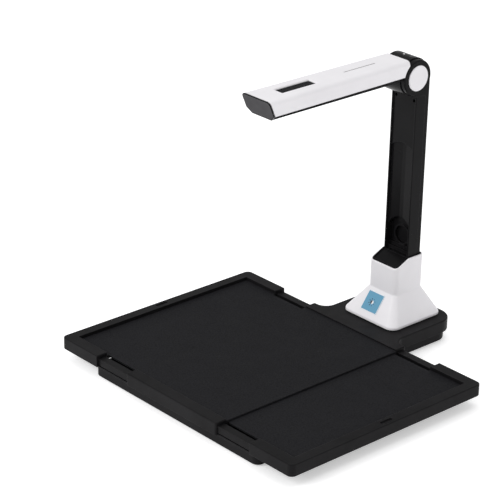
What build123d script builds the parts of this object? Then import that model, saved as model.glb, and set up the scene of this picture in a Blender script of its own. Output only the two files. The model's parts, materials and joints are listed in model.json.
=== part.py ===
from build123d import *
import os

os.makedirs("parts", exist_ok=True)

# Book scanner with a camera arm on a post and a tray that pulls out for a large sheet.
# Millimetres. +X runs along the tray, +Y goes from the reader to the post, +Z is up.
# The origin is on the table, under the middle of the outline with the wings pulled out.

# ---------------------------------------------------------------- driving dimensions
OVERALL_DEPTH = 455.4          # tray front to the back of the tongue
FRONT_Y = -OVERALL_DEPTH / 2
BACK_Y = OVERALL_DEPTH / 2
GAP = 0.3                      # clearance between pieces of different bodies

# Tray, sized to a 420 x 297 sheet
TRAY_HALF = 225.8              # half length with the wings out
TRAY_DEPTH = 335.0
TRAY_TOP = 33.1
TRAY_BACK = FRONT_Y + TRAY_DEPTH
LONG_RIM = 17.4                # rim width along the front and the back
END_RIM = 15.0                 # rim width at the ends
RECESS_FRONT = FRONT_Y + LONG_RIM
RECESS_BACK = TRAY_BACK - LONG_RIM
RECESS_MID = (RECESS_FRONT + RECESS_BACK) / 2
BLOCK_HALF = 88.0              # half length of the fixed middle block
WING_TRAVEL = 61.0
WING_INNER = BLOCK_HALF + WING_TRAVEL + 1.0
WING_BOTTOM = 16.4
CORNER = 8.0                   # rounding of the wings' upright outside corners
EDGE = 1.2                     # rounding of the wings' top edges
BLOCK_EDGE = 1.6               # rounding of the top edge of the block and the tongue
BLOCK_CORNER = 2.5

# Lower tier
TIER_TOP = 16.0
TIER_HALF = 160.0
TIER_INSET = 5.0
TIER_CORNER = 10.0
DECK = 2.5                     # thickness of the plate that closes the lower tier
WALL = 2.4
COVER_BOTTOM = 1.5             # height of the feet under the cover
COVER_TOP = TIER_TOP - DECK
COVER_EDGE = 1.5               # rounding under the cover

# Tongue behind the tray
TONGUE_HALF = 67.0
TONGUE_CORNER = 27.0
TONGUE_BLEND = 16.0            # inside corner between tray and tongue
TONGUE_WALL = 8.0              # from the tongue's side to the hollow under it
TONGUE_PLATE = 3.0             # thickness of its top
TONGUE_TOP = 33.1

# Bed and wing floors
BED_TOP = 31.1
BED_THICK = 2.5
BED_LEDGE = 3.0                # shelf under the front and back edges of the bed
FLOOR_TOP = BED_TOP - BED_THICK - 0.4
FLOOR_THICK = 2.2
FLOOR_INNER = WING_TRAVEL + 1.0   # where a floor panel starts when its wing is out
DECK_UNDER_BED = FLOOR_TOP - FLOOR_THICK - 0.4

# Rails
RAIL_WALL = 2.8                # wall of the wing outside the rail
RAIL_WEB = 2.5                 # wall of the wing between the rail and the recess
RAIL_BOTTOM = 19.3
RAIL_TOP = 28.4
RAIL_HALF = TIER_HALF
RAIL_WIDTH = LONG_RIM - RAIL_WALL - RAIL_WEB - 2 * GAP
CHANNEL_END = TRAY_HALF - 2.8

# Foot and collar
FOOT_HALF = 49.0
FOOT_DEPTH = 97.6
FOOT_MID = 170.3
FOOT_BOTTOM = 34.5
FOOT_LIP = 3.0                 # upright band round the bottom of the foot
FOOT_CORNER = 13.0
FOOT_SOFT = 3.0                # rounding above the lip and under the collar
COLLAR_HALF = 26.1
COLLAR_DEPTH = 54.2
COLLAR_CORNER = 7.0
COLLAR_LIP = 0.7               # rounding of the collar's mouth
COLLAR_START = 71.8
COLLAR_FRONT_TOP = 109.8
COLLAR_BACK_TOP = 120.9
COLLAR_BACK = 201.4
FOOT_WALL = 2.0
INSERT_RISE = 1.0              # how far the rim of the collar insert stands over the collar
INSERT_DISH = 1.4              # depth of the insert's middle below its rim
INSERT_RIM = 2.4
INSERT_GAP = 0.05
INSERT_BOTTOM = 92.0
INSERT_CORNER = 5.0

# Hinge
HINGE_Y = 172.6
HINGE_Z = 378.0
HUB_RADIUS = 24.6
BARREL_RADIUS = 26.0
BARREL_HALF = 14.6
CHEEK_INNER = 14.95
AXLE_RADIUS = 4.0
CAP_RADIUS = 17.4
CAP_PROUD = 1.5
HUB_EDGE = 2.0                 # rounding of the cheeks' outer rims

# Post
POST_HALF = 22.6
POST_FRONT = 171.8
POST_BACK = HINGE_Y + HUB_RADIUS
POST_SPLIT = 189.0             # plane between the front and the rear moulding
POST_BOTTOM = FOOT_BOTTOM
POST_FRONT_TOP = HINGE_Z - BARREL_RADIUS - 0.6
CHANNEL_HALF = 20.4            # the front is sunk between two thin side walls
CHANNEL_DEPTH = 2.2
GROOVE_SIDE = 4.3              # depth of the hollow groove at its sides and along its middle
GROOVE_MIDDLE = 6.5
GROOVE_FLAT = 3.2              # half width of the groove's flat middle
GROOVE_TOP_Z = 281.0           # highest point of the groove's arched top
GROOVE_ARCH = 29.0
POCKET_DEPTH = 12.5            # round pocket that takes the lens ring
POCKET_RADIUS = 21.5
POCKET_TOP_Z = 172.2
SEAT_RADIUS = 12.5             # ring on the floor of the pocket, under the lens when folded
SEAT_WALL = 2.2
SEAT_TALL = 2.4
CHANNEL_BOTTOM_Z = 121.5
POCKET_STEPS = ((0.0, 6.0), (4.5, 9.5), (9.5, POCKET_DEPTH))   # rise and depth at its foot

# Head: "out" is the distance forward of the hinge, "up" the height over it
HEAD_HALF = 23.4               # half width at the hinge; the head widens towards its tip
HEAD_TIP_HALF = 26.0
HEAD_LENGTH = 267.3
HEAD_REAR = 17.0
HEAD_TOP = 27.2
HEAD_BOTTOM = 6.4
HEAD_ROUND = 6.0
HEAD_WALL = 2.2
HEAD_SLANT = 12.4              # how far the bottom of the box stands back from the head's top edge
CAP_THICK = 1.8
CAP_SEAM = 0.7                 # dark seam between the shell and the end cap
PLATE_INSET = 1.5              # black border round the grey plate on the end cap
PLATE_THICK = 0.6
BOX_HALF = 17.8
BOX_BOTTOM = -0.9
BOX_START = 27.2
BOX_INNER_END = 250.5
BOX_WALL = 1.8
LENS_OUT = HINGE_Y - RECESS_MID
LENS_Y = RECESS_MID
WINDOW_START = 169.0
WINDOW_END = 228.5
WINDOW_WIDTH = 15.6
WINDOW_BEVEL = 1.3
SLIT_START = 59.0
SLIT_END = 115.0
SLIT_WIDTH = 1.3

ON_FLOOR = (Align.CENTER, Align.CENTER, Align.MIN)
UNDER = (Align.CENTER, Align.CENTER, Align.MAX)
ALONG_X = (0, 90, 0)             # turns a cylinder to lie along X
ALONG_Y = (90, 0, 0)             # turns a cylinder to lie along Y


def finish(builder, name):
    """Label a finished sub-part and write its file."""
    builder.part.label = name
    export_step(builder.part, f"parts/{name}.step")


def mid(first, last):
    """Half way between two values."""
    return (first + last) / 2


def out_to_y(out):
    """World Y of a distance forward of the hinge."""
    return HINGE_Y - out


def block(x_range, y_range, z_range, mode=Mode.ADD):
    """A box given by its two limits along each axis."""
    centre = (mid(*x_range), mid(*y_range), mid(*z_range))
    size = [last - first for first, last in (x_range, y_range, z_range)]
    with Locations(centre):
        Box(*size, mode=mode)


def centred_block(half, y_range, z_range, mode=Mode.ADD):
    """A box that is symmetrical about the middle plane."""
    block((-half, half), y_range, z_range, mode)


def outline(half, y_range, z, corner):
    """A rounded rectangle that is symmetrical about the middle plane."""
    with BuildSketch(Plane.XY.offset(z), mode=Mode.PRIVATE) as sketch:
        with Locations((0, mid(*y_range))):
            RectangleRounded(2 * half, y_range[1] - y_range[0], corner)
    return sketch.sketch


def at_corner(sketch, x, y):
    """The pair of sketch corners at a distance to either side of the middle."""
    return [v for v in sketch.vertices() if abs(abs(v.X) - x) < 0.01 and abs(v.Y - y) < 0.01]


def tray_and_tongue(half, inset, z, corner):
    """Plan of one tier: a rectangle under the tray with the tongue behind it."""
    front, back = FRONT_Y + inset, TRAY_BACK - inset
    tongue_back = BACK_Y - inset
    tongue_half = TONGUE_HALF - inset
    right_side = [(half, front), (half, back), (tongue_half, back), (tongue_half, tongue_back)]
    left_side = [(-x, y) for x, y in reversed(right_side)]
    with BuildSketch(Plane.XY.offset(z), mode=Mode.PRIVATE) as sketch:
        with BuildLine():
            Polyline(*right_side, *left_side, close=True)
        make_face()
        fillet(at_corner(sketch, tongue_half, tongue_back), TONGUE_CORNER - inset)
        fillet(at_corner(sketch, tongue_half, back), TONGUE_BLEND)
        fillet(at_corner(sketch, half, front), corner)
        fillet(at_corner(sketch, half, back), corner)
    return sketch.sketch


def rail_range(side):
    """Front and back limit of the front (-1) or rear (+1) rail."""
    outside = FRONT_Y if side < 0 else TRAY_BACK
    first = outside - side * (RAIL_WALL + GAP)
    return tuple(sorted((first, first - side * RAIL_WIDTH)))


def channel_range(side):
    """Front and back limit of the wing's channel round a rail."""
    low, high = rail_range(side)
    return (low - GAP, high + GAP)


# ---------------------------------------------------------------- base
SCREW_SPOTS = [(x, y) for x in (-140, 0, 140) for y in (FRONT_Y + 22, TRAY_BACK - 22)]
FOOT_PADS = [(x, y) for x in (-146, 146) for y in (FRONT_Y + 40, TRAY_BACK - 40)]
FOOT_PADS += [(-44, BACK_Y - 26), (44, BACK_Y - 26)]
PAD_RADIUS = 7.0
BOARD_Z = 20.0                 # underside of the main board
BOARD_THICK = 1.6
SOCKET_HALF = 4.6
SOCKET_TALL = 3.6
SOCKET_BOTTOM = BOARD_Z + BOARD_THICK + 0.6
CHAMFER = 0.8                  # at the ends of the rails
SCREW_RADIUS = 1.5
SCREW_HEAD = 2.8
SCREW_HEAD_TALL = 1.8
SCREW_SUNK = 1.2               # how far a screw head under the cover lies in
BOSS_RADIUS = 4.2
PAD_SUNK = 0.8                 # how far the rubber feet are let into the cover
FOOT_SCREWS = [(x, FOOT_MID + y) for x in (-38, 38) for y in (-38, 38)]
POST_SCREWS = [(x, y) for x in (-16, 16) for y in (POST_FRONT + 7, POST_BACK - 6)]

with BuildPart() as base_bottom_cover:
    cover_tall = COVER_TOP - COVER_BOTTOM
    extrude(tray_and_tongue(TIER_HALF, TIER_INSET, COVER_BOTTOM, TIER_CORNER), amount=cover_tall)
    fillet(base_bottom_cover.edges().group_by(Axis.Z)[0], COVER_EDGE)
    with BuildSketch(Plane.XY.offset(COVER_BOTTOM + WALL)):
        add(tray_and_tongue(TIER_HALF, TIER_INSET, 0, TIER_CORNER))
        offset(amount=-WALL, mode=Mode.REPLACE)
    extrude(amount=COVER_TOP, mode=Mode.SUBTRACT)
    with Locations(*[(x, y, COVER_BOTTOM + WALL) for x, y in SCREW_SPOTS]):
        Cylinder(BOSS_RADIUS, COVER_TOP - COVER_BOTTOM - WALL, align=ON_FLOOR)
    with Locations(*[(x, y, COVER_BOTTOM) for x, y in SCREW_SPOTS]):
        Cylinder(SCREW_HEAD + GAP, SCREW_SUNK + SCREW_HEAD_TALL, align=ON_FLOOR, mode=Mode.SUBTRACT)
        Cylinder(SCREW_RADIUS, 14, align=ON_FLOOR, mode=Mode.SUBTRACT)
    with Locations(*[(x, y, COVER_BOTTOM) for x, y in FOOT_PADS]):
        Cylinder(PAD_RADIUS, PAD_SUNK, align=ON_FLOOR, mode=Mode.SUBTRACT)
finish(base_bottom_cover, "base_bottom_cover")

with BuildPart() as base_frame:
    # plate that closes the lower tier, then the block and the tongue on it
    extrude(tray_and_tongue(TIER_HALF, TIER_INSET, COVER_TOP, TIER_CORNER), amount=DECK)
    extrude(tray_and_tongue(BLOCK_HALF, 0, TIER_TOP, BLOCK_CORNER), amount=TRAY_TOP - TIER_TOP)
    fillet(base_frame.edges().group_by(Axis.Z)[-1], BLOCK_EDGE)
    # recess for the bed, with a lower middle where the wing floors slide
    centred_block(
        BLOCK_HALF + 1,
        (RECESS_FRONT, RECESS_BACK),
        (BED_TOP - BED_THICK, TRAY_TOP + 1),
        Mode.SUBTRACT,
    )
    centred_block(
        BLOCK_HALF + 1,
        (RECESS_FRONT + BED_LEDGE, RECESS_BACK - BED_LEDGE),
        (DECK_UNDER_BED, TRAY_TOP),
        Mode.SUBTRACT,
    )
    # hollows from below, under the bed and in the tongue
    centred_block(
        BLOCK_HALF - 3,
        (RECESS_FRONT + BED_LEDGE, RECESS_BACK - BED_LEDGE),
        (COVER_TOP - 1, DECK_UNDER_BED - WALL),
        Mode.SUBTRACT,
    )
    extrude(
        outline(
            TONGUE_HALF - TONGUE_WALL,
            (TRAY_BACK + 2, BACK_Y - TONGUE_WALL),
            COVER_TOP - 1,
            TONGUE_CORNER - TONGUE_WALL,
        ),
        amount=TONGUE_TOP - TONGUE_PLATE - COVER_TOP + 1,
        mode=Mode.SUBTRACT,
    )
    for side in (-1, 1):
        centred_block(BLOCK_HALF + 1, rail_range(side), (RAIL_BOTTOM, RAIL_TOP), Mode.SUBTRACT)
    # wire way and screw holes up into the foot
    centred_block(8, (POST_SPLIT + 2.5, POST_SPLIT + 7.5), (TONGUE_TOP - 10, TONGUE_TOP + 1), Mode.SUBTRACT)
    with Locations(*[(x, y, TONGUE_TOP - 4) for x, y in FOOT_SCREWS + POST_SCREWS]):
        Cylinder(SCREW_RADIUS + 0.1, 5, align=ON_FLOOR, mode=Mode.SUBTRACT)
    # opening for the inlet socket
    centred_block(
        SOCKET_HALF + GAP,
        (BACK_Y - 10, BACK_Y + 1),
        (SOCKET_BOTTOM - GAP, SOCKET_BOTTOM + SOCKET_TALL + GAP),
        Mode.SUBTRACT,
    )
finish(base_frame, "base_frame")

for side, name in ((-1, "front_rail"), (1, "rear_rail")):
    with BuildPart() as rail:
        centred_block(RAIL_HALF, rail_range(side), (RAIL_BOTTOM, RAIL_TOP))
        chamfer(rail.faces().sort_by(Axis.X)[0].edges() + rail.faces().sort_by(Axis.X)[-1].edges(), CHAMFER)
    finish(rail, name)

with BuildPart() as bed_panel:
    centred_block(
        BLOCK_HALF,
        (RECESS_FRONT + 0.1, RECESS_BACK - 0.1),
        (BED_TOP - BED_THICK, BED_TOP),
    )
    chamfer(bed_panel.faces().sort_by(Axis.Z)[-1].edges().filter_by(Axis.Y), 0.6)
finish(bed_panel, "bed_panel")

with BuildPart() as base_feet:
    with Locations(*[(x, y, 0) for x, y in FOOT_PADS]):
        Cylinder(PAD_RADIUS - 0.1, COVER_BOTTOM + PAD_SUNK, align=ON_FLOOR)
    chamfer(base_feet.edges().group_by(Axis.Z)[0], 0.5)
finish(base_feet, "base_feet")

with BuildPart() as base_screws:
    with Locations(*[(x, y, COVER_BOTTOM + SCREW_SUNK) for x, y in SCREW_SPOTS]):
        Cylinder(SCREW_HEAD, SCREW_HEAD_TALL, align=ON_FLOOR)
        Cylinder(SCREW_RADIUS, 10.5, align=ON_FLOOR)
finish(base_screws, "base_screws")

with BuildPart() as ballast_plate:
    centred_block(50, (FOOT_MID - 38, BACK_Y - 18), (COVER_BOTTOM + WALL, COVER_BOTTOM + WALL + 4))
    fillet(ballast_plate.edges().filter_by(Axis.Z), 4)
finish(ballast_plate, "ballast_plate")

with BuildPart() as main_board:
    centred_block(36, (FOOT_MID - 44, BACK_Y - 12), (BOARD_Z, BOARD_Z + BOARD_THICK))
    # two chips and a connector
    with Locations((-16, FOOT_MID - 14, BOARD_Z + BOARD_THICK), (14, FOOT_MID - 20, BOARD_Z + BOARD_THICK)):
        Box(12, 12, 1.1, align=ON_FLOOR)
    with Locations((22, FOOT_MID + 12, BOARD_Z + BOARD_THICK)):
        Box(6, 14, 2.1, align=ON_FLOOR)
finish(main_board, "main_board")

SOCKET_MOUTH = BACK_Y - 1.2

with BuildPart() as usb_socket:
    centred_block(SOCKET_HALF, (BACK_Y - 13, SOCKET_MOUTH), (SOCKET_BOTTOM, SOCKET_BOTTOM + SOCKET_TALL))
    fillet(usb_socket.edges().filter_by(Axis.Y), SOCKET_TALL / 2 - 0.2)
    with BuildSketch(Plane.XZ.offset(-SOCKET_MOUTH)):
        with Locations((0, SOCKET_BOTTOM + SOCKET_TALL / 2)):
            SlotOverall(2 * SOCKET_HALF - 1, SOCKET_TALL - 1)
    extrude(amount=8, mode=Mode.SUBTRACT)
    # contact tongue
    centred_block(3.0, (BACK_Y - 10, BACK_Y - 3), (SOCKET_BOTTOM + 1.5, SOCKET_BOTTOM + 2.1))
finish(usb_socket, "usb_socket")

# ---------------------------------------------------------------- wings
FLOOR_LEDGE = 7.0              # shelf of the wing that carries its floor panel
GRIP_LENGTH = 20.0             # small recess in the end rim
GRIP_WIDTH = 5.0
GRIP_DEPTH = 1.5


def wing_frame(side):
    """U-shaped frame of one wing, open towards the middle block."""
    with BuildPart() as frame:
        with BuildSketch(Plane.XY.offset(WING_BOTTOM)):
            with Locations((side * mid(WING_INNER, TRAY_HALF), mid(FRONT_Y, TRAY_BACK))):
                Rectangle(TRAY_HALF - WING_INNER, TRAY_DEPTH)
        extrude(amount=TRAY_TOP - WING_BOTTOM)
        outside = frame.edges().filter_by(Axis.Z).sort_by(lambda e: abs(e.center().X))[-2:]
        fillet(outside, CORNER)
        fillet(frame.faces().sort_by(Axis.Z)[-1].edges(), EDGE)
        fillet(frame.faces().sort_by(Axis.Z)[0].edges().filter_by(Axis.X), 1.0)
        inner, end = side * (WING_INNER - 1), side * (TRAY_HALF - END_RIM)
        x_recess = tuple(sorted((inner, end)))
        block(x_recess, (RECESS_FRONT, RECESS_BACK), (FLOOR_TOP - FLOOR_THICK, TRAY_TOP + 1), Mode.SUBTRACT)
        ledge_end = side * (TRAY_HALF - END_RIM - FLOOR_LEDGE)
        x_open = tuple(sorted((inner, ledge_end)))
        block(
            x_open,
            (RECESS_FRONT + FLOOR_LEDGE, RECESS_BACK - FLOOR_LEDGE),
            (WING_BOTTOM - 1, TRAY_TOP),
            Mode.SUBTRACT,
        )
        # underside of the shelf stands clear of the deck below it
        block(
            x_open,
            (RECESS_FRONT, RECESS_BACK),
            (WING_BOTTOM - 1, FLOOR_TOP - 2 * FLOOR_THICK),
            Mode.SUBTRACT,
        )
        x_channel = tuple(sorted((inner, side * CHANNEL_END)))
        for rail_side in (-1, 1):
            block(x_channel, channel_range(rail_side), (RAIL_BOTTOM - GAP, RAIL_TOP + GAP), Mode.SUBTRACT)
        # hollow under the end rim
        x_hollow = tuple(sorted((side * (TRAY_HALF - END_RIM + WALL), side * (TRAY_HALF - WALL))))
        block(
            x_hollow,
            (RECESS_FRONT + 4, RECESS_BACK - 4),
            (WING_BOTTOM - 1, TRAY_TOP - WALL - GRIP_DEPTH),
            Mode.SUBTRACT,
        )
        with BuildSketch(Plane.XY.offset(TRAY_TOP - GRIP_DEPTH)):
            with Locations((side * (TRAY_HALF - END_RIM / 2), RECESS_MID)):
                SlotOverall(GRIP_LENGTH, GRIP_WIDTH, rotation=90)
        extrude(amount=3, mode=Mode.SUBTRACT)
    return frame


def wing_floor(side):
    """Thin panel fixed in one wing, which slides in under the bed."""
    with BuildPart() as floor:
        z_range = (FLOOR_TOP - FLOOR_THICK, FLOOR_TOP)
        x_wide = tuple(sorted((side * (WING_INNER + 0.3), side * (TRAY_HALF - END_RIM - 0.1))))
        x_narrow = tuple(sorted((side * FLOOR_INNER, side * (WING_INNER + 0.3))))
        block(x_wide, (RECESS_FRONT + 0.1, RECESS_BACK - 0.1), z_range)
        block(x_narrow, (RECESS_FRONT + BED_LEDGE + 0.4, RECESS_BACK - BED_LEDGE - 0.4), z_range)
    return floor


for side, hand in ((-1, "left"), (1, "right")):
    finish(wing_frame(side), f"{hand}_wing_frame")
    finish(wing_floor(side), f"{hand}_wing_floor")

# ---------------------------------------------------------------- foot
FOOT_RANGE = (FOOT_MID - FOOT_DEPTH / 2, FOOT_MID + FOOT_DEPTH / 2)
COLLAR_RANGE = (COLLAR_BACK - COLLAR_DEPTH, COLLAR_BACK)
GASKET_INSET = 1.5             # the dark joint under the foot lies a little in
FOOT_BOSS = 3.4
LABEL_THICK = 0.4


def foot_solid(wall):
    """Flared foot with its collar, drawn in by a wall thickness."""
    foot_y = (FOOT_RANGE[0] + wall, FOOT_RANGE[1] - wall)
    collar_y = (COLLAR_RANGE[0] + wall, COLLAR_RANGE[1] - wall)
    with BuildPart(mode=Mode.PRIVATE) as solid:
        shoulder = FOOT_BOTTOM + FOOT_LIP
        extrude(outline(FOOT_HALF - wall, foot_y, FOOT_BOTTOM, FOOT_CORNER - wall), amount=FOOT_LIP)
        loft(
            [
                outline(FOOT_HALF - wall, foot_y, shoulder, FOOT_CORNER - wall),
                outline(COLLAR_HALF - wall, collar_y, COLLAR_START, COLLAR_CORNER - wall),
            ],
            ruled=True,
        )
        extrude(
            outline(COLLAR_HALF - wall, collar_y, COLLAR_START, COLLAR_CORNER - wall),
            amount=COLLAR_BACK_TOP - COLLAR_START + (5 if wall else 0),
        )
        if not wall:
            # soft lip at the bottom and a soft hollow where the collar starts
            fillet(solid.edges().filter_by_position(Axis.Z, shoulder, shoulder), FOOT_SOFT)
            fillet(solid.edges().filter_by_position(Axis.Z, COLLAR_START, COLLAR_START), FOOT_SOFT)
    return solid.part


def above_collar(drop):
    """Everything above the collar's mouth, which slopes up to the post and then runs level."""
    with BuildPart(mode=Mode.PRIVATE) as cutter:
        with BuildSketch(Plane.YZ.offset(-60)):
            with BuildLine():
                Polyline(
                    (COLLAR_RANGE[0], COLLAR_FRONT_TOP - drop),
                    (POST_FRONT, COLLAR_BACK_TOP - drop),
                    (COLLAR_RANGE[1] + 20, COLLAR_BACK_TOP - drop),
                    (COLLAR_RANGE[1] + 20, COLLAR_BACK_TOP + 40),
                    (COLLAR_RANGE[0] - 20, COLLAR_BACK_TOP + 40),
                    (COLLAR_RANGE[0] - 20, COLLAR_FRONT_TOP - drop),
                    close=True,
                )
            make_face()
        extrude(amount=120)
    return cutter.part


def on_collar_outside(point):
    """True on the collar's outer wall, within half of its thickness."""
    inside_x = abs(point.X) < COLLAR_HALF - FOOT_WALL / 2
    inside_y = COLLAR_RANGE[0] + FOOT_WALL / 2 < point.Y < COLLAR_RANGE[1] - FOOT_WALL / 2
    return not (inside_x and inside_y)


with BuildPart() as foot_gasket:
    extrude(
        outline(
            FOOT_HALF - GASKET_INSET,
            (FOOT_RANGE[0] + GASKET_INSET, FOOT_RANGE[1] - GASKET_INSET),
            TONGUE_TOP,
            FOOT_CORNER - 1,
        ),
        amount=FOOT_BOTTOM - TONGUE_TOP,
    )
    extrude(
        outline(FOOT_HALF - 8, (FOOT_RANGE[0] + 8, FOOT_RANGE[1] - 8), TONGUE_TOP - 1, 1),
        amount=FOOT_BOTTOM - TONGUE_TOP + 2,
        mode=Mode.SUBTRACT,
    )
finish(foot_gasket, "foot_gasket")

foot_outside = foot_solid(0)
foot_inside = foot_solid(FOOT_WALL)
collar_mouth = above_collar(0)
insert_rim = above_collar(-INSERT_RISE)
insert_dish = above_collar(INSERT_DISH - INSERT_RISE)

with BuildPart() as foot_shell:
    # bosses first, trimmed to the foot's own outside, then the hollow between them
    add(foot_outside)
    add(foot_inside, mode=Mode.SUBTRACT)
    with Locations(*[(x, y, FOOT_BOTTOM) for x, y in FOOT_SCREWS]):
        Cylinder(FOOT_BOSS, 14, align=ON_FLOOR)
    add(foot_outside, mode=Mode.INTERSECT)
    with Locations(*[(x, y, FOOT_BOTTOM) for x, y in FOOT_SCREWS]):
        Cylinder(SCREW_RADIUS, 10, align=ON_FLOOR, mode=Mode.SUBTRACT)
    add(collar_mouth, mode=Mode.SUBTRACT)
    mouth_z = (COLLAR_FRONT_TOP - 0.1, COLLAR_BACK_TOP + 0.1)
    mouth = foot_shell.edges().filter_by_position(Axis.Z, *mouth_z)
    fillet([e for e in mouth if on_collar_outside(e.center())], COLLAR_LIP)
finish(foot_shell, "foot_shell")

with BuildPart() as collar_insert:
    insert_half = COLLAR_HALF - FOOT_WALL - INSERT_GAP
    insert_y = (COLLAR_RANGE[0] + FOOT_WALL + INSERT_GAP, COLLAR_RANGE[1] - FOOT_WALL - INSERT_GAP)
    extrude(outline(insert_half, insert_y, INSERT_BOTTOM, INSERT_CORNER), amount=40)
    add(insert_rim, mode=Mode.SUBTRACT)
    fillet(collar_insert.edges().group_by(Axis.Y)[0].group_by(Axis.Z)[-1], 0.6)
    with BuildPart(mode=Mode.PRIVATE) as dish:
        dish_y = (insert_y[0] + INSERT_RIM, POST_FRONT + 10)
        extrude(outline(insert_half - INSERT_RIM, dish_y, INSERT_BOTTOM, 1.5), amount=60)
        add(insert_dish, mode=Mode.INTERSECT)
    add(dish.part, mode=Mode.SUBTRACT)
    centred_block(POST_HALF, (POST_FRONT, POST_BACK), (80, 140), Mode.SUBTRACT)
finish(collar_insert, "collar_insert")

# touch label on the front slope, with its sensor board behind the wall
SLOPE_RISE = COLLAR_START - FOOT_BOTTOM - FOOT_LIP
SLOPE_RUN = COLLAR_RANGE[0] - FOOT_RANGE[0]
LABEL_UP = 0.54                # how far up the slope the label's middle lies
LABEL_WIDTH = 29.5
LABEL_HEIGHT = 29.0
LABEL_X = -3.6                 # the label sits a little off the middle
LABEL_PLANE = Plane(
    origin=(LABEL_X, FOOT_RANGE[0] + LABEL_UP * SLOPE_RUN, FOOT_BOTTOM + FOOT_LIP + LABEL_UP * SLOPE_RISE),
    x_dir=(1, 0, 0),
    z_dir=(0, -SLOPE_RISE, SLOPE_RUN),
)

with BuildPart() as light_label:
    with BuildSketch(LABEL_PLANE):
        RectangleRounded(LABEL_WIDTH, LABEL_HEIGHT, 0.8)
    extrude(amount=LABEL_THICK)
finish(light_label, "light_label")

with BuildPart() as touch_board:
    with BuildSketch(LABEL_PLANE.offset(-FOOT_WALL - 0.2)):
        RectangleRounded(LABEL_WIDTH - 4, LABEL_HEIGHT - 4, 1)
    extrude(amount=-1.2)
finish(touch_board, "touch_board")

with BuildPart() as foot_screws:
    with Locations(*[(x, y, TONGUE_TOP - 3) for x, y in FOOT_SCREWS]):
        Cylinder(SCREW_RADIUS, 12, align=ON_FLOOR)
        Cylinder(SCREW_HEAD, SCREW_HEAD_TALL, align=UNDER)
finish(foot_screws, "foot_screws")

# ---------------------------------------------------------------- post
POST_WALL = 2.2
POST_FLOOR = 10.0              # solid bottom of the post, where its screws go in
TOP_SCREW_Z = 344.7
TOP_SCREW_X = 16.5
SUNK_FRONT = POST_FRONT + CHANNEL_DEPTH
SMALL_SCREW = 1.3
SMALL_HEAD = 2.1
WIRE_RADIUS = 1.1


def top_screw_spots(depth):
    """Places of the two top screws, a distance in from the sunk front."""
    return [Location((x, SUNK_FRONT + depth, TOP_SCREW_Z), ALONG_Y) for x in (-TOP_SCREW_X, TOP_SCREW_X)]


def groove_section():
    """Section of the groove: two side walls and a shallow V between them."""
    side, middle = POST_FRONT + GROOVE_SIDE, POST_FRONT + GROOVE_MIDDLE
    with BuildSketch(Plane.XY.offset(CHANNEL_BOTTOM_Z), mode=Mode.PRIVATE) as sketch:
        with BuildLine():
            Polyline(
                (-CHANNEL_HALF, POST_FRONT - 1),
                (CHANNEL_HALF, POST_FRONT - 1),
                (CHANNEL_HALF, side),
                (GROOVE_FLAT, middle),
                (-GROOVE_FLAT, middle),
                (-CHANNEL_HALF, side),
                close=True,
            )
        make_face()
    return sketch.sketch


def arched_room(radius, top_z):
    """Room a little wider than the channel, with an arched top, to trim a hollow with."""
    with BuildPart(mode=Mode.PRIVATE) as room:
        with Locations(Location((0, POST_FRONT, top_z - radius), ALONG_Y)):
            Cylinder(radius, 60)
        centred_block(CHANNEL_HALF + 1, (POST_FRONT - 2, POST_FRONT + 30), (0, top_z - radius))
    return room.part


with BuildPart() as groove:
    extrude(groove_section(), amount=GROOVE_TOP_Z - CHANNEL_BOTTOM_Z)
    add(arched_room(GROOVE_ARCH, GROOVE_TOP_Z), mode=Mode.INTERSECT)

with BuildPart() as pocket:
    for rise, depth in POCKET_STEPS:
        y_range = (POST_FRONT - 1, POST_FRONT + depth)
        centred_block(CHANNEL_HALF, y_range, (CHANNEL_BOTTOM_Z + rise, POCKET_TOP_Z))
    add(arched_room(POCKET_RADIUS, POCKET_TOP_Z), mode=Mode.INTERSECT)

with BuildPart() as column_front:
    centred_block(POST_HALF, (POST_FRONT, POST_SPLIT), (POST_BOTTOM, POST_FRONT_TOP))
    fillet(column_front.edges().filter_by(Axis.Z).group_by(Axis.Y)[0], 0.8)
    centred_block(
        CHANNEL_HALF,
        (POST_FRONT - 1, SUNK_FRONT),
        (CHANNEL_BOTTOM_Z, POST_FRONT_TOP + 1),
        Mode.SUBTRACT,
    )
    add(groove.part, mode=Mode.SUBTRACT)
    add(pocket.part, mode=Mode.SUBTRACT)
    # round seat for the lens ring on the pocket's floor
    with Locations(Location((0, POST_FRONT + POCKET_DEPTH, HINGE_Z - LENS_OUT), ALONG_Y)):
        Cylinder(SEAT_RADIUS + SEAT_WALL, 2 * SEAT_TALL)
        Cylinder(SEAT_RADIUS, 2 * SEAT_TALL, mode=Mode.SUBTRACT)
    # hollow from behind, below the channel
    centred_block(
        POST_HALF - POST_WALL,
        (POST_FRONT + POST_WALL, POST_SPLIT + 1),
        (POST_BOTTOM + POST_FLOOR, CHANNEL_BOTTOM_Z - 3),
        Mode.SUBTRACT,
    )
    with Locations(*top_screw_spots(0)):
        Cylinder(SMALL_HEAD + 0.2, 12, mode=Mode.SUBTRACT)
        Cylinder(SMALL_SCREW, 40, mode=Mode.SUBTRACT)
    with Locations(*[(x, y, POST_BOTTOM) for x, y in POST_SCREWS if y < POST_SPLIT]):
        Cylinder(SCREW_RADIUS, 9, align=ON_FLOOR, mode=Mode.SUBTRACT)
finish(column_front, "column_front")

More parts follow.
